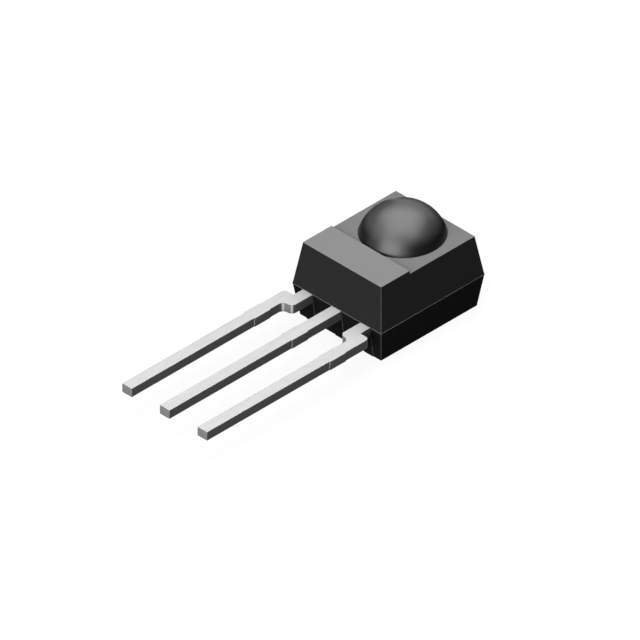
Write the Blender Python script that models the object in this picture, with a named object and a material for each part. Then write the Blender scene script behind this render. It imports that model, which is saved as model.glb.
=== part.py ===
"""Infrared receiver module: a black epoxy body with a dome lens, moulded round a three-lead frame.

The body lies on its back face with the lens up. The leads point towards -Y, and X runs across them.
The frame inside carries a photodiode under the lens and a receiver chip, joined by bond wires.
"""
import math

import bmesh
import bpy

MM = 0.001

# Body
BODY_WIDTH = 6.0 * MM
LENS_TO_FAR_END = 2.54 * MM
LENS_TO_LEAD_END = 4.46 * MM
BACK_DEPTH = 1.82 * MM
FRONT_DEPTH = 2.22 * MM
BACK_DRAFT = math.radians(8.0)
FRONT_DRAFT = math.radians(8.5)
CORNER_RADIUS = 0.08 * MM

# Lens and the pad beside it
LENS_RADIUS = 2.15 * MM
LENS_RISE = 1.56 * MM
LENS_SEGMENTS = 64
LENS_RINGS = 32
PAD_RISE = 0.16 * MM
PAD_TO_LENS = 0.02 * MM

# Leads
LEAD_PITCH = 2.54 * MM
LEAD_WIDTH = 0.65 * MM
LEAD_THICKNESS = 0.5 * MM
LEAD_REACH = 11.6 * MM
STUB_INSET = 0.6 * MM
SHOULDER_OFFSET = 0.65 * MM
SHOULDER_RADIUS = 0.22 * MM
NOTCH_RADIUS = 0.08 * MM
JOG_OFFSET = 1.1 * MM
ARC_STEPS = 6

# Trimmed dam bar: a stub that stands proud on both sides of each lead
DAM_BAR_OFFSET = 2.27 * MM
DAM_BAR_LENGTH = 1.08 * MM
DAM_BAR_PROUD = 0.04 * MM

# Shallow seats of epoxy under the leads
SEAT_PROUD = 0.04 * MM

# Frame inside the body
POST_WIDTH = 1.45 * MM
POST_LENGTH = 0.6 * MM
POST_OVERHANG = 0.15 * MM
NECK_DROP = 0.15 * MM
FRAME_GAP = 0.25 * MM
PADDLE_WIDTH = 3.2 * MM
PADDLE_MARGIN = 0.2 * MM

# Chips
PHOTODIODE_SIZE = 1.9 * MM
PHOTODIODE_HEIGHT = 0.3 * MM
RECEIVER_WIDTH = 1.3 * MM
RECEIVER_LENGTH = 1.0 * MM
RECEIVER_HEIGHT = 0.28 * MM
CHIP_GAP = 0.2 * MM
BOND_INSET = 0.14 * MM

# Bond wires
WIRE_RADIUS = 0.015 * MM
BALL_RADIUS = 0.035 * MM
BALL_HEIGHT = 0.04 * MM
STITCH_LENGTH = 0.12 * MM
LOOP_HEIGHT = 0.16 * MM
LOOP_POINTS = 7
LOOP_LEAN = 0.75
WIRE_STEPS = 2

# Clearance between the moulding and what it encloses, and between seated pieces
FIT = 0.01 * MM
# How far a cutter reaches past what it cuts
OVERCUT = 1.0 * MM
WELD = 1e-7
FLAT = math.radians(0.1)
SHARP = math.radians(30.0)

# Places that follow from the sizes
BODY_LENGTH = LENS_TO_FAR_END + LENS_TO_LEAD_END
LEAD_END_Y = -BODY_LENGTH / 2
LENS_Y = BODY_LENGTH / 2 - LENS_TO_FAR_END
PAD_EDGE_Y = LENS_Y - LENS_RADIUS - PAD_TO_LENS
PARTING_Z = BACK_DEPTH
LENS_PLANE_Z = PARTING_Z + FRONT_DEPTH
PAD_Z = LENS_PLANE_Z + PAD_RISE
FRAME_BACK_Z = PARTING_Z - LEAD_THICKNESS
CHIP_SEAT_Z = PARTING_Z + FIT
TIP_Y = LEAD_END_Y - LEAD_REACH
PHOTODIODE_LEAD_SIDE_Y = LENS_Y - PHOTODIODE_SIZE / 2
RECEIVER_Y = PHOTODIODE_LEAD_SIDE_Y - CHIP_GAP - RECEIVER_LENGTH / 2
PADDLE_LEAD_SIDE_Y = RECEIVER_Y - RECEIVER_LENGTH / 2 - PADDLE_MARGIN
PADDLE_FAR_Y = LENS_Y + PHOTODIODE_SIZE / 2 + PADDLE_MARGIN
POST_TOP_Y = PADDLE_LEAD_SIDE_Y - FRAME_GAP
POST_FOOT_Y = POST_TOP_Y - POST_LENGTH


def clear_scene():
    """Removes whatever the open file holds, so that the model stands alone."""
    for thing in list(bpy.data.objects):
        bpy.data.objects.remove(thing, do_unlink=True)


def new_collection(name):
    """A collection of its own in the scene."""
    collection = bpy.data.collections.new(name)
    bpy.context.scene.collection.children.link(collection)
    return collection


def finish(name, colour, roughness, metallic):
    """A Principled material of one colour."""
    material = bpy.data.materials.new(name)
    material.use_nodes = True
    shader = material.node_tree.nodes["Principled BSDF"]
    shader.inputs["Base Color"].default_value = (*colour, 1.0)
    shader.inputs["Roughness"].default_value = roughness
    shader.inputs["Metallic"].default_value = metallic
    return material


def black_epoxy():
    """Satin black epoxy that lets infrared through and no visible light."""
    return finish("black_epoxy", (0.02, 0.02, 0.021), 0.38, 0.0)


def tin_plate():
    """Bright matt tin on the lead frame."""
    return finish("tin_plate", (0.78, 0.78, 0.78), 0.35, 1.0)


def silicon():
    """Polished, dark silicon."""
    return finish("silicon", (0.12, 0.12, 0.16), 0.2, 0.6)


def gold():
    """Bond wire gold."""
    return finish("gold", (0.9, 0.68, 0.28), 0.25, 1.0)


def link_mesh(name, shape, collection, location=(0.0, 0.0, 0.0)):
    """Makes an object of a bmesh and links it at its place."""
    mesh = bpy.data.meshes.new(name)
    shape.to_mesh(mesh)
    shape.free()
    thing = bpy.data.objects.new(name, mesh)
    thing.location = location
    collection.objects.link(thing)
    return thing


def as_cutter(thing):
    """Marks an object as a tool of the model and not a piece of it."""
    thing.hide_render = True
    thing.display_type = "WIRE"
    return thing


def combine(target, tool, operation):
    """Adds a Boolean with the exact solver."""
    step = target.modifiers.new(operation.lower() + "_" + tool.name, "BOOLEAN")
    step.operation = operation
    step.object = tool
    step.solver = "EXACT"


def block(name, low, high, collection):
    """A box between two corners, with its origin in its middle."""
    size = [b - a for a, b in zip(low, high)]
    middle = [(a + b) / 2 for a, b in zip(low, high)]
    shape = bmesh.new()
    bmesh.ops.create_cube(shape, size=1.0)
    bmesh.ops.scale(shape, vec=size, verts=shape.verts)
    return link_mesh(name, shape, collection, middle)


def arc(centre, radius, start, end):
    """Points along an arc in the plane, from one angle in degrees to another."""
    points = []
    for step in range(ARC_STEPS + 1):
        angle = math.radians(start + (end - start) * step / ARC_STEPS)
        points.append((centre[0] + radius * math.cos(angle), centre[1] + radius * math.sin(angle)))
    return points


def mirrored(outline):
    """The same outline seen from the other side, still running the same way round."""
    return [(-x, y) for x, y in reversed(outline)]


def curve_to_mesh(curve_object, collection):
    """Turns a curve object into a welded mesh object at the same place, with each flat side one face."""
    bpy.context.view_layer.update()
    evaluated = curve_object.evaluated_get(bpy.context.evaluated_depsgraph_get())
    mesh = bpy.data.meshes.new_from_object(evaluated)
    shape = bmesh.new()
    shape.from_mesh(mesh)
    bmesh.ops.remove_doubles(shape, verts=shape.verts, dist=WELD)
    bmesh.ops.dissolve_limit(shape, angle_limit=FLAT, verts=shape.verts, edges=shape.edges)
    shape.to_mesh(mesh)
    shape.free()
    name = curve_object.name
    matrix = curve_object.matrix_world.copy()
    bpy.data.objects.remove(curve_object, do_unlink=True)
    thing = bpy.data.objects.new(name, mesh)
    thing.matrix_world = matrix
    collection.objects.link(thing)
    return thing


def flat_solid(name, outline, low, high, x, collection):
    """A flat outline given the thickness between two heights, standing at x."""
    curve = bpy.data.curves.new(name, "CURVE")
    curve.dimensions = "2D"
    curve.fill_mode = "BOTH"
    curve.extrude = (high - low) / 2
    spline = curve.splines.new("POLY")
    spline.points.add(len(outline) - 1)
    for point, (px, py) in zip(spline.points, outline):
        point.co = (px, py, 0.0, 1.0)
    spline.use_cyclic_u = True
    thing = bpy.data.objects.new(name, curve)
    thing.location = (x, 0.0, (low + high) / 2)
    collection.objects.link(thing)
    return curve_to_mesh(thing, collection)


def dam_bar_side(x, outward):
    """Points up one side of a lead, past the stub of the trimmed dam bar."""
    foot = LEAD_END_Y - DAM_BAR_OFFSET - DAM_BAR_LENGTH
    top = LEAD_END_Y - DAM_BAR_OFFSET
    proud = x + outward * DAM_BAR_PROUD
    return [(x, foot), (proud, foot), (proud, top), (x, top)]


def post_outline(margin):
    """The bonding post inside the body, from one side of the stub round to the other."""
    outer = -STUB_INSET + LEAD_WIDTH / 2 + margin
    inner = -STUB_INSET - LEAD_WIDTH / 2 - margin
    post_outer = outer + POST_OVERHANG
    post_inner = post_outer - POST_WIDTH - 2 * margin
    foot = POST_FOOT_Y - margin
    top = POST_TOP_Y + margin
    neck = foot - NECK_DROP
    post = [(post_outer, foot), (post_outer, top), (post_inner, top), (post_inner, foot)]
    return [(outer, neck)] + post + [(inner, neck)]


def outer_lead_outline():
    """The supply lead from above, counter-clockwise, counted from its middle."""
    half = LEAD_WIDTH / 2
    stub_outer = half - STUB_INSET
    stub_inner = -half - STUB_INSET
    shoulder = LEAD_END_Y - SHOULDER_OFFSET
    jog = LEAD_END_Y - JOG_OFFSET
    bend = STUB_INSET / 2
    points = [(-half, TIP_Y), (half, TIP_Y)]
    points += dam_bar_side(half, 1)
    points += arc((half - SHOULDER_RADIUS, shoulder - SHOULDER_RADIUS), SHOULDER_RADIUS, 0, 90)
    points += arc((stub_outer + NOTCH_RADIUS, shoulder + NOTCH_RADIUS), NOTCH_RADIUS, 270, 180)
    points += post_outline(0.0)
    points += arc((stub_inner + bend, jog), bend, 180, 270)
    points += arc((stub_inner + bend, jog - 2 * bend), bend, 90, 0)[1:]
    points += reversed(dam_bar_side(-half, -1))
    return points


def outer_slot_outline():
    """The slot that the supply lead leaves in the body, open at the lead side."""
    outer = -STUB_INSET + LEAD_WIDTH / 2 + FIT
    inner = -STUB_INSET - LEAD_WIDTH / 2 - FIT
    mouth = LEAD_END_Y - OVERCUT
    return [(inner, mouth), (outer, mouth)] + post_outline(FIT)


def paddle_outline(margin):
    """The die paddle, from one side of the middle lead round to the other."""
    half_lead = LEAD_WIDTH / 2 + margin
    half = PADDLE_WIDTH / 2 + margin
    foot = PADDLE_LEAD_SIDE_Y - margin
    top = PADDLE_FAR_Y + margin
    neck = foot - NECK_DROP
    paddle = [(half, foot), (half, top), (-half, top), (-half, foot)]
    return [(half_lead, neck)] + paddle + [(-half_lead, neck)]


def middle_lead_outline():
    """The ground lead with its paddle from above, counter-clockwise."""
    half = LEAD_WIDTH / 2
    points = [(-half, TIP_Y), (half, TIP_Y)]
    points += dam_bar_side(half, 1)
    points += paddle_outline(0.0)
    points += reversed(dam_bar_side(-half, -1))
    return points


def middle_slot_outline():
    """The slot that the ground lead and its paddle leave in the body."""
    half = LEAD_WIDTH / 2 + FIT
    mouth = LEAD_END_Y - OVERCUT
    return [(-half, mouth), (half, mouth)] + paddle_outline(FIT)


def rounded_rectangle(width, length, radius):
    """A rectangle about the origin with round corners, counter-clockwise."""
    x = width / 2 - radius
    y = length / 2 - radius
    points = arc((x, -y), radius, -90, 0)
    points += arc((x, y), radius, 0, 90)
    points += arc((-x, y), radius, 90, 180)
    points += arc((-x, -y), radius, 180, 270)
    return points


def draft_inset(z):
    """How far the body's sides lie inside the parting line at a height."""
    if z > PARTING_Z:
        return (z - PARTING_Z) * math.tan(FRONT_DRAFT)
    return (PARTING_Z - z) * math.tan(BACK_DRAFT)


def drafted_body(collection):
    """The block of the moulding: a rounded outline whose two halves narrow away from the parting line."""
    outline = rounded_rectangle(BODY_WIDTH, BODY_LENGTH, CORNER_RADIUS)
    body = flat_solid("moulded_body", outline, 0.0, PAD_Z, 0.0, collection)
    shape = bmesh.new()
    shape.from_mesh(body.data)
    bmesh.ops.bisect_plane(
        shape,
        geom=shape.verts[:] + shape.edges[:] + shape.faces[:],
        dist=WELD,
        plane_co=(0.0, 0.0, PARTING_Z - body.location.z),
        plane_no=(0.0, 0.0, 1.0),
    )
    for vertex in shape.verts:
        inset = draft_inset(vertex.co.z + body.location.z)
        vertex.co.x -= math.copysign(inset, vertex.co.x)
        vertex.co.y -= math.copysign(inset, vertex.co.y)
    shape.to_mesh(body.data)
    shape.free()
    return body


def lens_step(collection):
    """What is left out above the lens plane, from the pad's edge to the far end."""
    return block(
        "lens_step",
        (-BODY_WIDTH, PAD_EDGE_Y, LENS_PLANE_Z),
        (BODY_WIDTH, BODY_LENGTH, PAD_Z + OVERCUT),
        collection,
    )


def lens_ball(collection):
    """The ball whose cap stands above the lens plane."""
    radius = (LENS_RADIUS**2 + LENS_RISE**2) / (2 * LENS_RISE)
    shape = bmesh.new()
    bmesh.ops.create_uvsphere(shape, u_segments=LENS_SEGMENTS, v_segments=LENS_RINGS, radius=radius)
    return link_mesh("lens_ball", shape, collection, (0.0, LENS_Y, LENS_PLANE_Z + LENS_RISE - radius))


def lead_seat(name, x, collection):
    """A shallow seat of epoxy under one lead, leaning back with the draft. The lead's slot trims it."""
    seat = block(
        name,
        (x - LEAD_WIDTH / 2, LEAD_END_Y - SEAT_PROUD, 0.0),
        (x + LEAD_WIDTH / 2, LEAD_END_Y + OVERCUT, FRAME_BACK_Z),
        collection,
    )
    for vertex in seat.data.vertices:
        vertex.co.y += draft_inset(vertex.co.z + seat.location.z)
    return seat


def chip(name, size, height, y, collection):
    """A sawn chip on the paddle."""
    return block(
        name,
        (-size[0] / 2, y - size[1] / 2, CHIP_SEAT_Z),
        (size[0] / 2, y + size[1] / 2, CHIP_SEAT_Z + height),
        collection,
    )


def chip_pocket(name, size, height, y, collection):
    """The pocket that a chip leaves in the moulding, which opens into the paddle's slot."""
    return block(
        name,
        (-size[0] / 2 - FIT, y - size[1] / 2 - FIT, PARTING_Z - FIT),
        (size[0] / 2 + FIT, y + size[1] / 2 + FIT, CHIP_SEAT_Z + height + FIT),
        collection,
    )


def wire_route(start, end):
    """Points of a bond wire: up from the ball on a chip, over in a loop, and flat along its stitch."""
    run = math.hypot(end[0] - start[0], end[1] - start[1])
    along = ((end[0] - start[0]) / run, (end[1] - start[1]) / run)
    ball_top = start[2] + BALL_HEIGHT
    stitch_z = end[2] + WIRE_RADIUS
    points = [tuple(start), (start[0], start[1], ball_top)]
    for step in range(1, LOOP_POINTS):
        t = step / LOOP_POINTS
        distance = t * (run - STITCH_LENGTH)
        lift = LOOP_HEIGHT * math.sin(math.pi * t**LOOP_LEAN)
        height = ball_top + (stitch_z - ball_top) * t + lift
        points.append((start[0] + along[0] * distance, start[1] + along[1] * distance, height))
    touch = run - STITCH_LENGTH
    points.append((start[0] + along[0] * touch, start[1] + along[1] * touch, stitch_z))
    points.append((end[0], end[1], stitch_z))
    return points


def wire(name, route, extra, collection):
    """A round wire along a route, thicker at the ball, with extra added to its radius."""
    curve = bpy.data.curves.new(name, "CURVE")
    curve.dimensions = "3D"
    curve.bevel_depth = WIRE_RADIUS + extra
    curve.bevel_resolution = WIRE_STEPS
    curve.use_fill_caps = True
    spline = curve.splines.new("POLY")
    spline.points.add(len(route) - 1)
    for point, place in zip(spline.points, route):
        point.co = (*place, 1.0)
    ball_foot, ball_top = spline.points[:2]
    ball_foot.radius = (BALL_RADIUS + extra) / (WIRE_RADIUS + extra)
    ball_top.radius = ball_foot.radius
    thing = bpy.data.objects.new(name, curve)
    collection.objects.link(thing)
    return curve_to_mesh(thing, collection)


def wire_routes():
    """The four bond wires, each from the chip where it starts to where it ends."""
    receiver_top = CHIP_SEAT_Z + RECEIVER_HEIGHT + FIT
    photodiode_top = CHIP_SEAT_Z + PHOTODIODE_HEIGHT + FIT
    frame_top = PARTING_Z + FIT
    receiver_side = RECEIVER_WIDTH / 2 - BOND_INSET
    receiver_low = RECEIVER_Y - RECEIVER_LENGTH / 2 + BOND_INSET
    receiver_high = RECEIVER_Y + RECEIVER_LENGTH / 2 - BOND_INSET
    post_x = LEAD_PITCH - STUB_INSET + LEAD_WIDTH / 2 + POST_OVERHANG - POST_WIDTH + 2 * BOND_INSET
    post_y = POST_TOP_Y - BOND_INSET
    paddle_x = PADDLE_WIDTH / 2 - BOND_INSET
    photodiode_y = PHOTODIODE_LEAD_SIDE_Y + BOND_INSET
    return {
        "photodiode_wire": ((0.0, photodiode_y, photodiode_top), (0.0, receiver_high, receiver_top)),
        "supply_wire": ((receiver_side, receiver_low, receiver_top), (post_x, post_y, frame_top)),
        "output_wire": ((-receiver_side, receiver_low, receiver_top), (-post_x, post_y, frame_top)),
        "ground_wire": ((-receiver_side, receiver_high, receiver_top), (-paddle_x, RECEIVER_Y, frame_top)),
    }


def channel_route(route):
    """The same route begun a little lower at the ball, so that its channel opens into the chip's pocket."""
    first = route[0]
    return [(first[0], first[1], first[2] - 2 * FIT)] + route[1:]


def shade_round(thing):
    """Shades a piece smooth, with its sharp edges kept."""
    thing.data.shade_smooth()
    thing.data.set_sharp_from_angle(angle=SHARP)


def build():
    """Makes every piece of the module."""
    clear_scene()
    pieces = new_collection("infrared_receiver_module")
    tools = new_collection("cutters")
    module = bpy.data.objects.new("infrared_receiver_module", None)
    pieces.objects.link(module)
    epoxy = black_epoxy()
    tin = tin_plate()
    dark_silicon = silicon()
    wire_gold = gold()

    leads = {
        "output_lead": (mirrored(outer_lead_outline()), mirrored(outer_slot_outline()), -LEAD_PITCH),
        "ground_lead": (middle_lead_outline(), middle_slot_outline(), 0.0),
        "supply_lead": (outer_lead_outline(), outer_slot_outline(), LEAD_PITCH),
    }
    chips = {
        "photodiode_chip": ((PHOTODIODE_SIZE, PHOTODIODE_SIZE), PHOTODIODE_HEIGHT, LENS_Y),
        "receiver_chip": ((RECEIVER_WIDTH, RECEIVER_LENGTH), RECEIVER_HEIGHT, RECEIVER_Y),
    }

    body = drafted_body(pieces)
    combine(body, as_cutter(lens_step(tools)), "DIFFERENCE")
    combine(body, as_cutter(lens_ball(tools)), "UNION")

    made = {"moulded_body": (body, epoxy)}
    for name, (outline, slot, x) in leads.items():
        made[name] = (flat_solid(name, outline, FRAME_BACK_Z, PARTING_Z, x, pieces), tin)
        stub_x = x - math.copysign(STUB_INSET, x) if x else 0.0
        combine(body, as_cutter(lead_seat(name + "_seat", stub_x, tools)), "UNION")
        cutter = flat_solid(name + "_slot", slot, FRAME_BACK_Z - FIT, PARTING_Z + FIT, x, tools)
        combine(body, as_cutter(cutter), "DIFFERENCE")
    for name, (size, height, y) in chips.items():
        made[name] = (chip(name, size, height, y, pieces), dark_silicon)
        combine(body, as_cutter(chip_pocket(name + "_pocket", size, height, y, tools)), "DIFFERENCE")
    for name, (start, end) in wire_routes().items():
        route = wire_route(start, end)
        made[name] = (wire(name, route, 0.0, pieces), wire_gold)
        combine(body, as_cutter(wire(name + "_channel", channel_route(route), FIT, tools)), "DIFFERENCE")

    for thing, material in made.values():
        thing.data.materials.clear()
        thing.data.materials.append(material)
        thing.parent = module
    shade_round(body)


build()
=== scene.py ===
"""Infrared receiver module: the finely made body and leads that stand for their plain solids, the
finishes of all pieces, and the camera, world, floor, lights and dark cards of the picture.

The body lies on its back face with the lens up. The leads point towards -Y, and X runs across them.
"""
import math

import bmesh
import bpy
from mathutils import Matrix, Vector


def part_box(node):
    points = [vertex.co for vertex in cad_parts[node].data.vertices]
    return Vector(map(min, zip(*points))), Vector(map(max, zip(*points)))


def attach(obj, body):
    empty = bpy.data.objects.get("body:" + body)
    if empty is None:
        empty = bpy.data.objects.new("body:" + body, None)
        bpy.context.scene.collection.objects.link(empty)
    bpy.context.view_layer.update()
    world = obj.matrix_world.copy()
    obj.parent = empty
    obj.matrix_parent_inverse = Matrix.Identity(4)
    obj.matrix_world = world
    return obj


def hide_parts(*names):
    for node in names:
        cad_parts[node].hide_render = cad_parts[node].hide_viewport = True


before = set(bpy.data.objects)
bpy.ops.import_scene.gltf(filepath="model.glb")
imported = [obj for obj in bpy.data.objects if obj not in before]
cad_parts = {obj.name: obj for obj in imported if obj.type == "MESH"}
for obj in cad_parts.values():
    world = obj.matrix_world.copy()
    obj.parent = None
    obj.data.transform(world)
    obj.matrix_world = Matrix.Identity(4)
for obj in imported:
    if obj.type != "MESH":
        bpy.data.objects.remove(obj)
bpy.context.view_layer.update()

MM = 0.001

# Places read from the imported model
BODY_LOW, BODY_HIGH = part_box("moulded_body")
GROUND_LOW, GROUND_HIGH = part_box("ground_lead")
SUPPLY_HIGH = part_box("supply_lead")[1]
BODY_WIDTH = BODY_HIGH.x - BODY_LOW.x
BODY_LENGTH = BODY_HIGH.y - BODY_LOW.y
PARTING_Z = GROUND_HIGH.z
FRAME_BACK_Z = GROUND_LOW.z
TIP_Y = GROUND_LOW.y
PADDLE_WIDTH = GROUND_HIGH.x - GROUND_LOW.x
PADDLE_FAR_Y = GROUND_HIGH.y
POST_TOP_Y = SUPPLY_HIGH.y

# Body
LENS_PLANE_Z = 4.04 * MM
PAD_Z = 4.2 * MM
LENS_Y = 0.96 * MM
LENS_RADIUS = 2.15 * MM
LENS_RISE = BODY_HIGH.z - LENS_PLANE_Z
LENS_ROOT_DEPTH = LENS_RISE / 2
PAD_TO_LENS = 0.02 * MM
PAD_EDGE_Y = LENS_Y - LENS_RADIUS - PAD_TO_LENS
BACK_DRAFT = math.radians(8.0)
FRONT_DRAFT = math.radians(8.5)
CORNER_RADIUS = 0.05 * MM
EDGE_RADIUS = 0.02 * MM
FLASH_HEIGHT = 0.03 * MM
FLASH_PROUD = 0.015 * MM
SEAT_PROUD = 0.04 * MM
SEAT_EDGE = 0.02 * MM

# Leads
LEAD_PITCH = 2.54 * MM
LEAD_WIDTH = 0.65 * MM
LEAD_EDGE_RADIUS = 0.012 * MM
STUB_INSET = 0.6 * MM
SHOULDER_DISTANCE = 0.65 * MM
SHOULDER_Y = BODY_LOW.y - SHOULDER_DISTANCE
SHOULDER_RADIUS = 0.22 * MM
NOTCH_RADIUS = 0.08 * MM
JOG_DISTANCE = 1.4 * MM
JOG_Y = BODY_LOW.y - JOG_DISTANCE
JOG_RADIUS = STUB_INSET / 2
DAM_BAR_DISTANCE = 2.27 * MM
DAM_BAR_LENGTH = 1.08 * MM
DAM_BAR_TOP_Y = BODY_LOW.y - DAM_BAR_DISTANCE
DAM_BAR_FOOT_Y = DAM_BAR_TOP_Y - DAM_BAR_LENGTH
DAM_BAR_PROUD = 0.04 * MM
POST_WIDTH = 1.45 * MM
POST_LENGTH = 0.6 * MM
POST_OVERHANG = 0.15 * MM
POST_FOOT_Y = POST_TOP_Y - POST_LENGTH
POST_TO_PADDLE = 0.25 * MM
PADDLE_FOOT_Y = POST_TOP_Y + POST_TO_PADDLE
NECK_DROP = 0.15 * MM

# How many steps go into round forms
ARC_SEGMENTS = 10
RIM_SEGMENTS = 4
LEAD_EDGE_SEGMENTS = 3
LENS_SEGMENTS = 192
LENS_RINGS = 96

# Limits for picking and cleaning the mesh
NEAR = 0.002 * MM
LONG_EDGE = 0.02 * MM
WELD = 1e-8
FLAT = math.radians(0.1)
SMOOTH = math.radians(30.0)

# How much of its normal lies along an axis when a face counts as looking that way
FACING = 0.9
FACING_SQUARELY = 0.95

# Epoxy: grain, grey levels with painted light and shade by which way a face points, where one level goes
# over into the next, and gloss
GRAIN_SIZE = 0.05 * MM
GRAIN_DEPTH = 0.002 * MM
# The walls are near black, and the back half's walls are darker still as painted shade
BACK_HALF_WALL_PAINTED_SHADE = 0.0105
FRONT_HALF_WALL = 0.0235
# Painted highlight on the upright corners and on the flash of the parting line
EDGE_PAINTED_HIGHLIGHT = 0.1
# Level faces painted pale grey as painted light, the pad a little paler than the lens plane
PAD_FACE_PAINTED_LIGHT = 0.265
LENS_PLANE_PAINTED_LIGHT = 0.224
# Painted shade: the lens is darker towards its steep rim than at its crown
LENS_RIM_PAINTED_SHADE = 0.004
LENS_CROWN = 0.05
WALL_TO_FACE = (0.52, 0.9)
WALL_TO_CORNER = (0.5, 0.95)
RIM_TO_CROWN = (0.46, 0.72)
EPOXY_ROUGHNESS = (0.6, 0.8)
EPOXY_SPECULAR = 0.005
LENS_COAT = 0.85
LENS_COAT_ROUGHNESS = 0.34

# Tin: marks, colours with painted shade, light and highlight on the sides, ends and corners, where one
# goes over into the next, and gloss
MARK_SIZE = 0.05 * MM
MARK_STRETCH = (1, 0.05, 1)
MARK_DEPTH = 0.001 * MM
DULL_TIN = (0.585, 0.585, 0.585)
BRIGHT_TIN = (0.645, 0.645, 0.635)
# Painted shade on the lead sides, painted light on their ends and a painted highlight on their upright
# corners
LEAD_SIDE_PAINTED_SHADE = 0.1
LEAD_END_PAINTED_LIGHT = 0.22
LEAD_CORNER_PAINTED_HIGHLIGHT = 0.6
EDGE_TO_FLAT = (0.75, 0.95)
SIDE_TO_END = (0.6, 0.9)
SIDE_TO_CORNER = (0.85, 0.99)
TIN_ROUGHNESS = (0.4, 0.5)
TIN_SPECULAR = 0.05
TIN_METALLIC = 0.04

# Chips and bond wires
CIRCUIT_PATCH_SIZE = 0.08 * MM
CIRCUIT_PATCH_EDGE = (0.45, 0.55)
DARK_SILICON = (0.05, 0.05, 0.08)
PALE_SILICON = (0.12, 0.11, 0.15)
SILICON_ROUGHNESS = 0.15
SILICON_METALLIC = 0.5
WIRE_MARK_SIZE = 0.01 * MM
DEEP_GOLD = (0.85, 0.6, 0.22)
PALE_GOLD = (0.95, 0.72, 0.32)
GOLD_ROUGHNESS = 0.25
GOLD_METALLIC = 1.0
BOND_WIRES = ("photodiode_wire", "supply_wire", "output_wire", "ground_wire")

# The part of a noise that holds most of its values
NOISE_MIDDLE = (0.3, 0.7)

# Sockets of a Mix node that mixes colours
MIX_FIRST = 6
MIX_SECOND = 7
MIX_RESULT = 2

# Camera, floor and world
VIEW_AZIMUTH = 45.0
VIEW_ELEVATION = 35.264
VIEW_MIDDLE = Vector((-0.01 * MM, -4.61 * MM, 1.698 * MM))
VIEW_WIDTH = 30.52 * MM
VIEW_DISTANCE = 100 * MM
VIEW_NEAR_LIMIT = 1 * MM
VIEW_FAR_LIMIT = 1000 * MM
FLOOR_SIZE = 1000 * MM
FLOOR_DROP = 0.01 * MM
FLOOR_GREY = 0.12
FLOOR_GLOW = 0.9
WORLD_FILL = 0.03
WHITE = (1.0, 1.0, 1.0, 1.0)
BLACK = (0.0, 0.0, 0.0, 1.0)


def pick_only(piece):
    """Selects this object alone and makes it active."""
    bpy.ops.object.select_all(action="DESELECT")
    piece.select_set(True)
    bpy.context.view_layer.objects.active = piece


def settle(piece):
    """Puts a piece's place, turn and scale into its mesh."""
    pick_only(piece)
    bpy.ops.object.transform_apply(location=True, rotation=True, scale=True)


def add_box(name, low, high):
    """A box between two corners."""
    low = Vector(low)
    high = Vector(high)
    bpy.ops.object.select_all(action="DESELECT")
    bpy.ops.mesh.primitive_cube_add(size=1.0, location=(low + high) / 2)
    piece = bpy.context.object
    piece.name = name
    piece.scale = high - low
    settle(piece)
    return piece


def edit(piece, mode="FACE"):
    """Opens a piece for editing with nothing selected."""
    pick_only(piece)
    bpy.ops.object.mode_set(mode="EDIT")
    bpy.ops.mesh.select_mode(type=mode)
    bpy.ops.mesh.select_all(action="DESELECT")


def leave_edit():
    """Closes the piece that is open for editing."""
    bpy.ops.object.mode_set(mode="OBJECT")


def select_faces(piece, wanted):
    """Selects the faces of the open piece that a test on middle and normal picks."""
    shape = bmesh.from_edit_mesh(piece.data)
    bpy.ops.mesh.select_all(action="DESELECT")
    for face in shape.faces:
        if wanted(face.calc_center_median(), face.normal):
            face.select_set(True)
    bmesh.update_edit_mesh(piece.data)


def select_edges(piece, wanted):
    """Selects the edges of the open piece that a test on its two ends picks."""
    shape = bmesh.from_edit_mesh(piece.data)
    bpy.ops.mesh.select_all(action="DESELECT")
    for edge in shape.edges:
        if wanted(edge.verts[0].co, edge.verts[1].co):
            edge.select_set(True)
    bmesh.update_edit_mesh(piece.data)


def slice_at(place, normal):
    """Cuts the open piece by a plane and keeps both sides."""
    bpy.ops.mesh.select_all(action="SELECT")
    bpy.ops.mesh.bisect(plane_co=place, plane_no=normal, threshold=WELD)


def pull(step):
    """Extrudes what is selected by a step."""
    bpy.ops.mesh.extrude_region_move(TRANSFORM_OT_translate={"value": step})


def tidy_flats():
    """Makes each flat side of the open piece one face again."""
    bpy.ops.mesh.select_all(action="SELECT")
    bpy.ops.mesh.remove_doubles(threshold=WELD)
    bpy.ops.mesh.dissolve_limited(angle_limit=FLAT)
    bpy.ops.mesh.select_all(action="DESELECT")


def apply_modifier(piece, step):
    """Applies a modifier of a piece."""
    pick_only(piece)
    bpy.ops.object.modifier_apply(modifier=step.name)


def shade(piece):
    """Shades a piece smooth, with its flat sides kept flat."""
    pick_only(piece)
    bpy.ops.object.shade_smooth_by_angle(angle=SMOOTH)
    step = piece.modifiers.new("flat_sides", "WEIGHTED_NORMAL")
    step.keep_sharp = True
    apply_modifier(piece, step)


def draft_inset(z):
    """How far the body's sides lie inside the parting line at a height."""
    if z > PARTING_Z:
        return (z - PARTING_Z) * math.tan(FRONT_DRAFT)
    return (PARTING_Z - z) * math.tan(BACK_DRAFT)


def shrink_sides(piece, z):
    """Draws in the body's sides at one height by the draft there."""
    inset = draft_inset(z)
    select_edges(piece, lambda a, b: abs(a.z - z) < NEAR and abs(b.z - z) < NEAR)
    bpy.ops.transform.resize(
        value=(1 - 2 * inset / BODY_WIDTH, 1 - 2 * inset / BODY_LENGTH, 1),
        center_override=(0, 0, z),
    )


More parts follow.
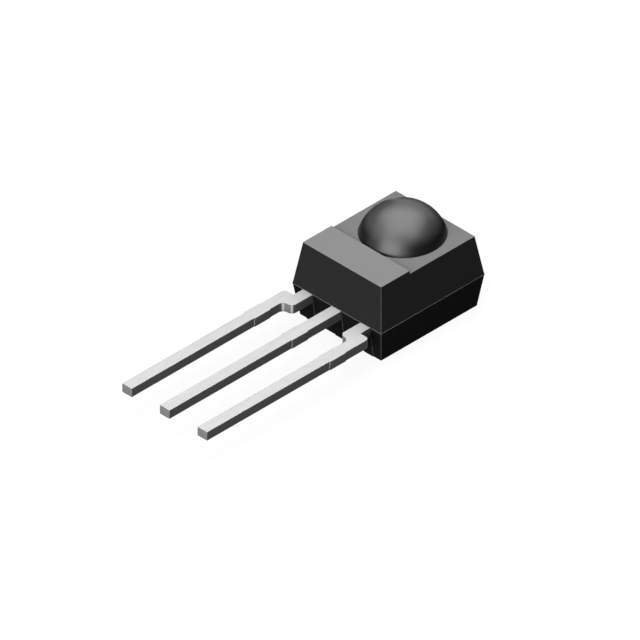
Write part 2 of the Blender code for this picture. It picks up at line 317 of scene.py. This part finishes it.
def raise_pad(piece):
    """Raises the pad beside the lens, with the draft carried on up its three outer sides."""
    slice_at((0, PAD_EDGE_Y, 0), (0, 1, 0))
    bpy.ops.mesh.select_mode(type="FACE")
    select_faces(piece, lambda middle, normal: normal.z > FACING and middle.y < PAD_EDGE_Y)
    pull((0, 0, PAD_Z - LENS_PLANE_Z))
    lean = draft_inset(PAD_Z) - draft_inset(LENS_PLANE_Z)
    width = BODY_WIDTH - 2 * draft_inset(LENS_PLANE_Z)
    length = PAD_EDGE_Y - BODY_LOW.y - draft_inset(LENS_PLANE_Z)
    bpy.ops.transform.resize(
        value=(1 - 2 * lean / width, 1 - lean / length, 1),
        center_override=(0, PAD_EDGE_Y, PAD_Z),
    )


def round_rims():
    """Rounds the sharp rims of the open body. The parting line is too blunt to be one of them."""
    bpy.ops.mesh.select_mode(type="EDGE")
    bpy.ops.mesh.edges_select_sharp(sharpness=SMOOTH)
    bpy.ops.mesh.bevel(offset=EDGE_RADIUS, segments=RIM_SEGMENTS, affect="EDGES")


def seat_front(z):
    """Where the front of a seat is at a height."""
    return BODY_LOW.y + draft_inset(z) - SEAT_PROUD


def raise_seats(piece):
    """Raises the shallow seats of epoxy under the leads and chamfers their upright edges."""
    outer = LEAD_PITCH - STUB_INSET
    slice_at((0, 0, FRAME_BACK_Z), (0, 0, 1))
    for x in (-outer, 0, outer):
        slice_at((x - LEAD_WIDTH / 2, 0, 0), (1, 0, 0))
        slice_at((x + LEAD_WIDTH / 2, 0, 0), (1, 0, 0))
    bpy.ops.mesh.select_mode(type="FACE")
    for x in (-outer, 0, outer):
        select_faces(
            piece,
            lambda middle, normal: normal.y < -FACING_SQUARELY
            and middle.z < FRAME_BACK_Z
            and abs(middle.x - x) < LEAD_WIDTH / 2,
        )
        pull((0, -SEAT_PROUD, 0))
    bpy.ops.mesh.select_mode(type="EDGE")
    select_edges(
        piece,
        lambda a, b: abs(a.z - b.z) > LONG_EDGE
        and max(a.y, b.y) < seat_front(0) + NEAR
        and abs(a.y - seat_front(a.z)) < NEAR
        and abs(b.y - seat_front(b.z)) < NEAR,
    )
    bpy.ops.mesh.bevel(offset=SEAT_EDGE, segments=1, affect="EDGES")


def raise_flash(piece):
    """Raises the fine line of flash all round the parting line."""
    slice_at((0, 0, PARTING_Z - FLASH_HEIGHT / 2), (0, 0, 1))
    slice_at((0, 0, PARTING_Z + FLASH_HEIGHT / 2), (0, 0, 1))
    bpy.ops.mesh.select_mode(type="FACE")
    select_faces(
        piece,
        lambda middle, normal: abs(middle.z - PARTING_Z) < FLASH_HEIGHT / 2 and abs(normal.z) < FACING,
    )
    bpy.ops.mesh.extrude_region_shrink_fatten(TRANSFORM_OT_shrink_fatten={"value": FLASH_PROUD})


def add_lens(piece):
    """Joins the dome of the lens to the body, with its root sunk into the block."""
    radius = (LENS_RADIUS**2 + LENS_RISE**2) / (2 * LENS_RISE)
    bpy.ops.object.select_all(action="DESELECT")
    bpy.ops.mesh.primitive_uv_sphere_add(
        segments=LENS_SEGMENTS,
        ring_count=LENS_RINGS,
        radius=radius,
        location=(0, LENS_Y, BODY_HIGH.z - radius),
    )
    dome = bpy.context.object
    settle(dome)
    edit(dome)
    bpy.ops.mesh.select_all(action="SELECT")
    bpy.ops.mesh.bisect(
        plane_co=(0, 0, LENS_PLANE_Z - LENS_ROOT_DEPTH),
        plane_no=(0, 0, 1),
        clear_inner=True,
        use_fill=True,
        threshold=WELD,
    )
    leave_edit()
    step = piece.modifiers.new("lens_joined", "BOOLEAN")
    step.operation = "UNION"
    step.object = dome
    step.solver = "EXACT"
    apply_modifier(piece, step)
    bpy.data.objects.remove(dome, do_unlink=True)


def make_body():
    """The moulding: a drafted block with round corners, the pad, the seats, the flash and the lens."""
    low = (-BODY_WIDTH / 2, -BODY_LENGTH / 2, 0)
    high = (BODY_WIDTH / 2, BODY_LENGTH / 2, LENS_PLANE_Z)
    piece = add_box("epoxy_moulding", low, high)
    edit(piece, "EDGE")
    select_edges(piece, lambda a, b: abs(a.z - b.z) > NEAR)
    bpy.ops.mesh.bevel(offset=CORNER_RADIUS, segments=ARC_SEGMENTS, affect="EDGES")
    slice_at((0, 0, PARTING_Z), (0, 0, 1))
    bpy.ops.mesh.select_mode(type="EDGE")
    shrink_sides(piece, 0.0)
    shrink_sides(piece, LENS_PLANE_Z)
    raise_pad(piece)
    tidy_flats()
    round_rims()
    raise_seats(piece)
    raise_flash(piece)
    tidy_flats()
    leave_edit()
    add_lens(piece)
    shade(piece)
    return piece


def grow_end(piece, y, low_x, high_x):
    """Draws the far end of a lead on to y, and sets how wide it is there."""
    shape = bmesh.from_edit_mesh(piece.data)
    end = max(vertex.co.y for vertex in shape.verts)
    xs = [vertex.co.x for vertex in shape.verts if vertex.co.y > end - NEAR]
    width = max(xs) - min(xs)
    middle_x = (max(xs) + min(xs)) / 2
    new_middle_x = (low_x + high_x) / 2
    select_faces(piece, lambda middle, normal: normal.y > FACING and middle.y > end - NEAR)
    pull((new_middle_x - middle_x, y - end, 0))
    bpy.ops.transform.resize(
        value=((high_x - low_x) / width, 1, 1),
        center_override=(new_middle_x, y, PARTING_Z),
    )


def raise_dam_bar(piece, x):
    """Leaves the stub of the trimmed dam bar proud on both sides of a lead."""
    slice_at((0, DAM_BAR_FOOT_Y, 0), (0, 1, 0))
    slice_at((0, DAM_BAR_TOP_Y, 0), (0, 1, 0))
    bpy.ops.mesh.select_mode(type="FACE")
    for side in (-1, 1):
        select_faces(
            piece,
            lambda middle, normal: normal.x * side > FACING
            and DAM_BAR_FOOT_Y < middle.y < DAM_BAR_TOP_Y
            and (middle.x - x) * side > 0,
        )
        pull((side * DAM_BAR_PROUD, 0, 0))


def round_corner(piece, x, y, radius):
    """Rounds an upright corner of a lead."""
    select_edges(
        piece,
        lambda a, b: abs(a.z - b.z) > NEAR
        and all(abs(end.x - x) < NEAR and abs(end.y - y) < NEAR for end in (a, b)),
    )
    bpy.ops.mesh.bevel(offset=radius, segments=ARC_SEGMENTS, affect="EDGES")


def finish_lead(piece):
    """Closes a lead, rounds its sharp edges a little and shades it."""
    tidy_flats()
    leave_edit()
    step = piece.modifiers.new("edge_rounding", "BEVEL")
    step.width = LEAD_EDGE_RADIUS
    step.segments = LEAD_EDGE_SEGMENTS
    step.limit_method = "ANGLE"
    step.angle_limit = SMOOTH
    step.miter_outer = "MITER_ARC"
    apply_modifier(piece, step)
    shade(piece)


def make_outer_lead(name, x):
    """An outer lead, from its tip past the jog and into the body to its bonding post."""
    out = math.copysign(1, x)
    half = LEAD_WIDTH / 2
    stub = x - out * STUB_INSET
    piece = add_box(name, (x - half, TIP_Y, FRAME_BACK_Z), (x + half, JOG_Y, PARTING_Z))
    edit(piece)
    grow_end(piece, SHOULDER_Y, x - half, x + half)
    select_faces(piece, lambda middle, normal: normal.x * out < -FACING and middle.y > JOG_Y)
    pull((-out * STUB_INSET, 0, 0))
    slice_at((stub + out * half, 0, 0), (1, 0, 0))
    bpy.ops.mesh.select_mode(type="FACE")
    select_faces(piece, lambda middle, normal: normal.y > FACING and abs(middle.x - stub) < half)
    pull((0, POST_FOOT_Y - NECK_DROP - SHOULDER_Y, 0))
    outer_edge = stub + out * (half + POST_OVERHANG)
    inner_edge = outer_edge - out * POST_WIDTH
    post_low = min(outer_edge, inner_edge)
    post_high = max(outer_edge, inner_edge)
    grow_end(piece, POST_FOOT_Y, post_low, post_high)
    grow_end(piece, POST_TOP_Y, post_low, post_high)
    raise_dam_bar(piece, x)
    tidy_flats()
    bpy.ops.mesh.select_mode(type="EDGE")
    round_corner(piece, x + out * half, SHOULDER_Y, SHOULDER_RADIUS)
    round_corner(piece, stub + out * half, SHOULDER_Y, NOTCH_RADIUS)
    round_corner(piece, x - out * half, JOG_Y, JOG_RADIUS)
    round_corner(piece, stub - out * half, JOG_Y, JOG_RADIUS)
    finish_lead(piece)
    return piece


def make_middle_lead():
    """The ground lead, from its tip straight into the body to the die paddle."""
    half = LEAD_WIDTH / 2
    piece = add_box(
        "tinned_ground_lead",
        (-half, TIP_Y, FRAME_BACK_Z),
        (half, PADDLE_FOOT_Y - NECK_DROP, PARTING_Z),
    )
    edit(piece)
    grow_end(piece, PADDLE_FOOT_Y, -PADDLE_WIDTH / 2, PADDLE_WIDTH / 2)
    grow_end(piece, PADDLE_FAR_Y, -PADDLE_WIDTH / 2, PADDLE_WIDTH / 2)
    raise_dam_bar(piece, 0.0)
    finish_lead(piece)
    return piece


class Finish:
    """A material under construction: its nodes and the links between them."""

    def __init__(self, name):
        self.material = bpy.data.materials.new(name)
        self.material.use_nodes = True
        self.tree = self.material.node_tree
        self.shader = self.tree.nodes["Principled BSDF"]
        where = self.tree.nodes.new("ShaderNodeTexCoord")
        self.place = where.outputs["Object"]
        self.normal = where.outputs["Normal"]

    def set(self, socket, value):
        """Sets a value that is the same all over."""
        self.shader.inputs[socket].default_value = value

    def link(self, start, end):
        """Joins an output to an input."""
        self.tree.links.new(start, end)

    def drive(self, start, socket):
        """Joins an output to a socket of the shader."""
        self.link(start, self.shader.inputs[socket])

    def stretched(self, scale):
        """The place on the piece, scaled along the axes. A pattern grows long where the scale is small."""
        mapping = self.tree.nodes.new("ShaderNodeMapping")
        mapping.inputs["Scale"].default_value = scale
        self.link(self.place, mapping.inputs["Vector"])
        return mapping.outputs["Vector"]

    def noise(self, size, detail=3.0, place=None):
        """Noise whose grains are about the given size."""
        texture = self.tree.nodes.new("ShaderNodeTexNoise")
        texture.inputs["Scale"].default_value = 1.0 / size
        texture.inputs["Detail"].default_value = detail
        self.link(place or self.place, texture.inputs["Vector"])
        return texture.outputs["Fac"]

    def calculate(self, operation, first, second=None):
        """One step of arithmetic on outputs or numbers."""
        step = self.tree.nodes.new("ShaderNodeMath")
        step.operation = operation
        for socket, value in zip(step.inputs, (first, second)):
            if isinstance(value, (int, float)):
                socket.default_value = value
            elif value is not None:
                self.link(value, socket)
        return step.outputs[0]

    def parts(self, vector):
        """The X, Y and Z of a vector."""
        split = self.tree.nodes.new("ShaderNodeSeparateXYZ")
        self.link(vector, split.inputs[0])
        return tuple(split.outputs)

    def facing_up(self):
        """How far a face points up or down, from 0 on a wall to 1 on a level face."""
        return self.calculate("ABSOLUTE", self.parts(self.normal)[2])

    def facing_along(self):
        """How far a face points along Y, from 0 on a side to 1 on an end."""
        return self.calculate("ABSOLUTE", self.parts(self.normal)[1])

    def corner(self):
        """How near a wall's direction is to halfway between X and Y, up to 1 at the middle of a corner."""
        x, y = self.parts(self.normal)[:2]
        double = self.calculate("MULTIPLY", self.calculate("MULTIPLY", x, y), 2)
        return self.calculate("ABSOLUTE", double)

    def spread(self, value, old_range, new_range=(0.0, 1.0)):
        """Moves a value from one range to another, and holds it there."""
        step = self.tree.nodes.new("ShaderNodeMapRange")
        step.interpolation_type = "SMOOTHSTEP"
        self.link(value, step.inputs["Value"])
        sockets = ("From Min", "From Max", "To Min", "To Max")
        for socket, limit in zip(sockets, (*old_range, *new_range)):
            step.inputs[socket].default_value = limit
        return step.outputs["Result"]

    def blend(self, factor, first, second):
        """Goes from one colour to another. Each is a grey level, a colour or an output."""
        mix = self.tree.nodes.new("ShaderNodeMix")
        mix.data_type = "RGBA"
        self.link(factor, mix.inputs["Factor"])
        for socket, colour in ((mix.inputs[MIX_FIRST], first), (mix.inputs[MIX_SECOND], second)):
            if isinstance(colour, float):
                socket.default_value = (colour, colour, colour, 1.0)
            elif isinstance(colour, tuple):
                socket.default_value = (*colour, 1.0)
            else:
                self.link(colour, socket)
        return mix.outputs[MIX_RESULT]

    def bump(self, height, depth):
        """Relief of a given depth."""
        step = self.tree.nodes.new("ShaderNodeBump")
        step.inputs["Distance"].default_value = depth
        self.link(height, step.inputs["Height"])
        self.drive(step.outputs["Normal"], "Normal")

    def wear(self, *pieces):
        """Gives these pieces this material and no other."""
        for piece in pieces:
            piece.data.materials.clear()
            piece.data.materials.append(self.material)


def epoxy_finish():
    """Black epoxy, finely grained by the mould, with a painted highlight on its upright corners and flash
    and a glossier lens.

    Level faces are painted pale as painted light and the walls are near black. The back half's walls are
    darkest as painted shade, and the lens is painted darker towards its rim as painted shade.
    """
    finish = Finish("black_epoxy_moulded")
    grain = finish.noise(GRAIN_SIZE)
    y, z = finish.parts(finish.place)[1:]
    up = finish.facing_up()
    past_pad = finish.calculate("GREATER_THAN", y, PAD_EDGE_Y)
    above_plane = finish.calculate("GREATER_THAN", z, LENS_PLANE_Z + NEAR)
    on_lens = finish.calculate("MULTIPLY", past_pad, above_plane)
    # Painted highlight: upright corners and the flash get a lighter grey
    corners = finish.calculate("SUBTRACT", finish.spread(finish.corner(), WALL_TO_CORNER), on_lens)
    off_parting = finish.calculate("ABSOLUTE", finish.calculate("SUBTRACT", z, PARTING_Z))
    flash = finish.calculate("LESS_THAN", off_parting, FLASH_HEIGHT / 2 + NEAR)
    painted_edge_highlight = finish.calculate("MAXIMUM", corners, flash)
    # Painted shade: the back half's walls are darker than the front half's
    front_half = finish.calculate("GREATER_THAN", z, PARTING_Z)
    walls_painted_shade = finish.blend(front_half, BACK_HALF_WALL_PAINTED_SHADE, FRONT_HALF_WALL)
    walls = finish.blend(painted_edge_highlight, walls_painted_shade, EDGE_PAINTED_HIGHLIGHT)
    # Level faces get a painted light: a pale grey in place of the black
    faces = finish.blend(past_pad, PAD_FACE_PAINTED_LIGHT, LENS_PLANE_PAINTED_LIGHT)
    block = finish.blend(finish.spread(up, WALL_TO_FACE), walls, faces)
    # Painted shade on the lens: darker where it turns steeply away from level
    dome = finish.blend(finish.spread(up, RIM_TO_CROWN), LENS_RIM_PAINTED_SHADE, LENS_CROWN)
    finish.drive(finish.blend(on_lens, block, dome), "Base Color")
    finish.drive(finish.spread(grain, NOISE_MIDDLE, EPOXY_ROUGHNESS), "Roughness")
    finish.set("Specular IOR Level", EPOXY_SPECULAR)
    finish.drive(finish.calculate("MULTIPLY", on_lens, LENS_COAT), "Coat Weight")
    finish.set("Coat Roughness", LENS_COAT_ROUGHNESS)
    finish.bump(grain, GRAIN_DEPTH)
    return finish


def tin_finish():
    """Matt tin plate with fine marks along the leads.

    The sides are painted dark as shade, the ends paler as painted light and the round upright corners
    bright as a painted highlight, by which way a face points.
    """
    finish = Finish("matt_tin_plate")
    marks = finish.noise(MARK_SIZE, place=finish.stretched(MARK_STRETCH))
    flat_faces = finish.spread(finish.facing_up(), EDGE_TO_FLAT)
    plated = finish.blend(finish.spread(marks, NOISE_MIDDLE), DULL_TIN, BRIGHT_TIN)
    # Painted shade on the sides, painted light on the ends and a painted highlight on the upright corners
    painted_side_shading = finish.blend(finish.spread(finish.facing_along(), SIDE_TO_END), LEAD_SIDE_PAINTED_SHADE, LEAD_END_PAINTED_LIGHT)
    painted_side_shading = finish.blend(finish.spread(finish.corner(), SIDE_TO_CORNER), painted_side_shading, LEAD_CORNER_PAINTED_HIGHLIGHT)
    finish.drive(finish.blend(flat_faces, painted_side_shading, plated), "Base Color")
    finish.drive(finish.spread(marks, NOISE_MIDDLE, TIN_ROUGHNESS), "Roughness")
    finish.drive(finish.calculate("MULTIPLY", flat_faces, TIN_METALLIC), "Metallic")
    finish.set("Specular IOR Level", TIN_SPECULAR)
    finish.bump(marks, MARK_DEPTH)
    return finish


def silicon_finish():
    """Polished dark silicon with the faint patches of its circuit."""
    finish = Finish("polished_silicon")
    patches = finish.spread(finish.noise(CIRCUIT_PATCH_SIZE, detail=0.0), CIRCUIT_PATCH_EDGE)
    finish.drive(finish.blend(patches, DARK_SILICON, PALE_SILICON), "Base Color")
    finish.set("Roughness", SILICON_ROUGHNESS)
    finish.set("Metallic", SILICON_METALLIC)
    return finish


def gold_finish():
    """Drawn gold bond wire."""
    finish = Finish("drawn_gold")
    marks = finish.noise(WIRE_MARK_SIZE)
    finish.drive(finish.blend(marks, DEEP_GOLD, PALE_GOLD), "Base Color")
    finish.set("Roughness", GOLD_ROUGHNESS)
    finish.set("Metallic", GOLD_METALLIC)
    return finish


def place_piece(piece, node):
    """Lets a piece stand for a CAD node on the model's body, and hides the node."""
    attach(piece, "root")
    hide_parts(node)


def seen_directly(tree):
    """1 for what the camera sees, also in a reflection or through a clear piece, and 0 for other light."""
    path = tree.nodes.new("ShaderNodeLightPath")
    seen = path.outputs["Is Camera Ray"]
    for other in ("Is Glossy Ray", "Is Transmission Ray"):
        either = tree.nodes.new("ShaderNodeMath")
        either.operation = "MAXIMUM"
        tree.links.new(seen, either.inputs[0])
        tree.links.new(path.outputs[other], either.inputs[1])
        seen = either.outputs[0]
    return seen


def make_floor():
    """A plain pale floor that looks white to the camera and in reflections and keeps a soft shadow."""
    bpy.ops.object.select_all(action="DESELECT")
    bpy.ops.mesh.primitive_plane_add(size=FLOOR_SIZE, location=(0, 0, -FLOOR_DROP))
    floor = bpy.context.object
    floor.name = "floor"
    material = bpy.data.materials.new("pale_floor")
    material.use_nodes = True
    tree = material.node_tree
    tree.nodes.remove(tree.nodes["Principled BSDF"])
    pale = tree.nodes.new("ShaderNodeBsdfDiffuse")
    pale.inputs["Color"].default_value = (FLOOR_GREY, FLOOR_GREY, FLOOR_GREY, 1.0)
    white = tree.nodes.new("ShaderNodeEmission")
    white.inputs["Strength"].default_value = FLOOR_GLOW
    both = tree.nodes.new("ShaderNodeAddShader")
    tree.links.new(pale.outputs[0], both.inputs[0])
    tree.links.new(white.outputs[0], both.inputs[1])
    choice = tree.nodes.new("ShaderNodeMixShader")
    tree.links.new(seen_directly(tree), choice.inputs[0])
    tree.links.new(pale.outputs[0], choice.inputs[1])
    tree.links.new(both.outputs[0], choice.inputs[2])
    tree.links.new(choice.outputs[0], tree.nodes["Material Output"].inputs["Surface"])
    floor.data.materials.append(material)


def make_world():
    """A world that looks white to the camera and in reflections and fills the shadows a little."""
    world = bpy.data.worlds.new("studio")
    bpy.context.scene.world = world
    world.use_nodes = True
    tree = world.node_tree
    strength = tree.nodes.new("ShaderNodeMapRange")
    strength.inputs["To Min"].default_value = WORLD_FILL
    tree.links.new(seen_directly(tree), strength.inputs["Value"])
    background = tree.nodes["Background"]
    background.inputs["Color"].default_value = WHITE
    tree.links.new(strength.outputs["Result"], background.inputs["Strength"])


def direction(azimuth, elevation):
    """The direction from the object to a place, with the angles in degrees as in the camera's views."""
    across = math.radians(azimuth)
    upwards = math.radians(elevation)
    return Vector((
        math.sin(across) * math.cos(upwards),
        -math.cos(across) * math.cos(upwards),
        math.sin(upwards),
    ))


def face_middle(thing, towards):
    """Turns a camera, light or card so that it looks back from a direction at the object."""
    thing.rotation_mode = "QUATERNION"
    thing.rotation_quaternion = towards.to_track_quat("Z", "Y")


def add_panel(name, azimuth, elevation, distance, width, height, energy, reflected_only=False):
    """A soft light that looks at the body. One that is reflected_only lights no matt surface."""
    data = bpy.data.lights.new(name, "AREA")
    data.shape = "RECTANGLE"
    data.size = width
    data.size_y = height
    data.energy = energy
    lamp = bpy.data.objects.new(name, data)
    towards = direction(azimuth, elevation)
    lamp.location = towards * distance
    face_middle(lamp, towards)
    lamp.visible_diffuse = not reflected_only
    bpy.context.scene.collection.objects.link(lamp)


def add_card(name, azimuth, distance, width, height):
    """A dark card on the floor that only reflections see, as a photographer shades a glossy object."""
    bpy.ops.object.select_all(action="DESELECT")
    towards = direction(azimuth, 0.0)
    middle = towards * distance + Vector((0, 0, height / 2))
    bpy.ops.mesh.primitive_plane_add(size=1.0, location=middle)
    card = bpy.context.object
    card.name = name
    face_middle(card, towards)
    card.scale = (width, height, 1)
    card.visible_camera = False
    card.visible_diffuse = False
    card.visible_shadow = False
    material = bpy.data.materials.new("black_card")
    material.use_nodes = True
    shader = material.node_tree.nodes["Principled BSDF"]
    shader.inputs["Base Color"].default_value = BLACK
    shader.inputs["Specular IOR Level"].default_value = 0.0
    card.data.materials.append(material)


def make_camera():
    """The photograph's isometric view."""
    data = bpy.data.cameras.new("camera")
    data.type = "ORTHO"
    data.ortho_scale = VIEW_WIDTH
    data.clip_start = VIEW_NEAR_LIMIT
    data.clip_end = VIEW_FAR_LIMIT
    camera = bpy.data.objects.new("camera", data)
    back = direction(VIEW_AZIMUTH, VIEW_ELEVATION)
    camera.location = VIEW_MIDDLE + back * VIEW_DISTANCE
    face_middle(camera, back)
    bpy.context.scene.collection.objects.link(camera)
    bpy.context.scene.camera = camera


# The picture's set, with angles in degrees, lengths in metres and energies in watts
make_camera()
make_world()
make_floor()
add_panel("key", azimuth=225.0, elevation=86.0, distance=0.1, width=0.12, height=0.12, energy=0.113)
add_panel("front", azimuth=14.0, elevation=17.0, distance=0.2, width=0.17, height=0.14, energy=0.42)
add_panel(
    "front_fill",
    azimuth=16.0,
    elevation=24.0,
    distance=0.2,
    width=0.28,
    height=0.2,
    energy=0.25,
    reflected_only=True,
)
add_panel(
    "overhead",
    azimuth=225.0,
    elevation=83.0,
    distance=0.1,
    width=0.2,
    height=0.2,
    energy=0.28,
    reflected_only=True,
)
add_card("right_card", azimuth=120.0, distance=0.03, width=0.09, height=0.034)
add_card("left_card", azimuth=-90.0, distance=0.008, width=0.014, height=0.009)
add_card("back_card", azimuth=180.0, distance=0.009, width=0.018, height=0.006)
bpy.context.scene.view_settings.view_transform = "Standard"

# The pieces
body = make_body()
place_piece(body, "moulded_body")
output_lead = make_outer_lead("tinned_output_lead", -LEAD_PITCH)
place_piece(output_lead, "output_lead")
ground_lead = make_middle_lead()
place_piece(ground_lead, "ground_lead")
supply_lead = make_outer_lead("tinned_supply_lead", LEAD_PITCH)
place_piece(supply_lead, "supply_lead")

# Their finishes
epoxy_finish().wear(body)
tin_finish().wear(output_lead, ground_lead, supply_lead)
silicon_finish().wear(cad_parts["photodiode_chip"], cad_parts["receiver_chip"])
gold_finish().wear(*(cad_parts[name] for name in BOND_WIRES))
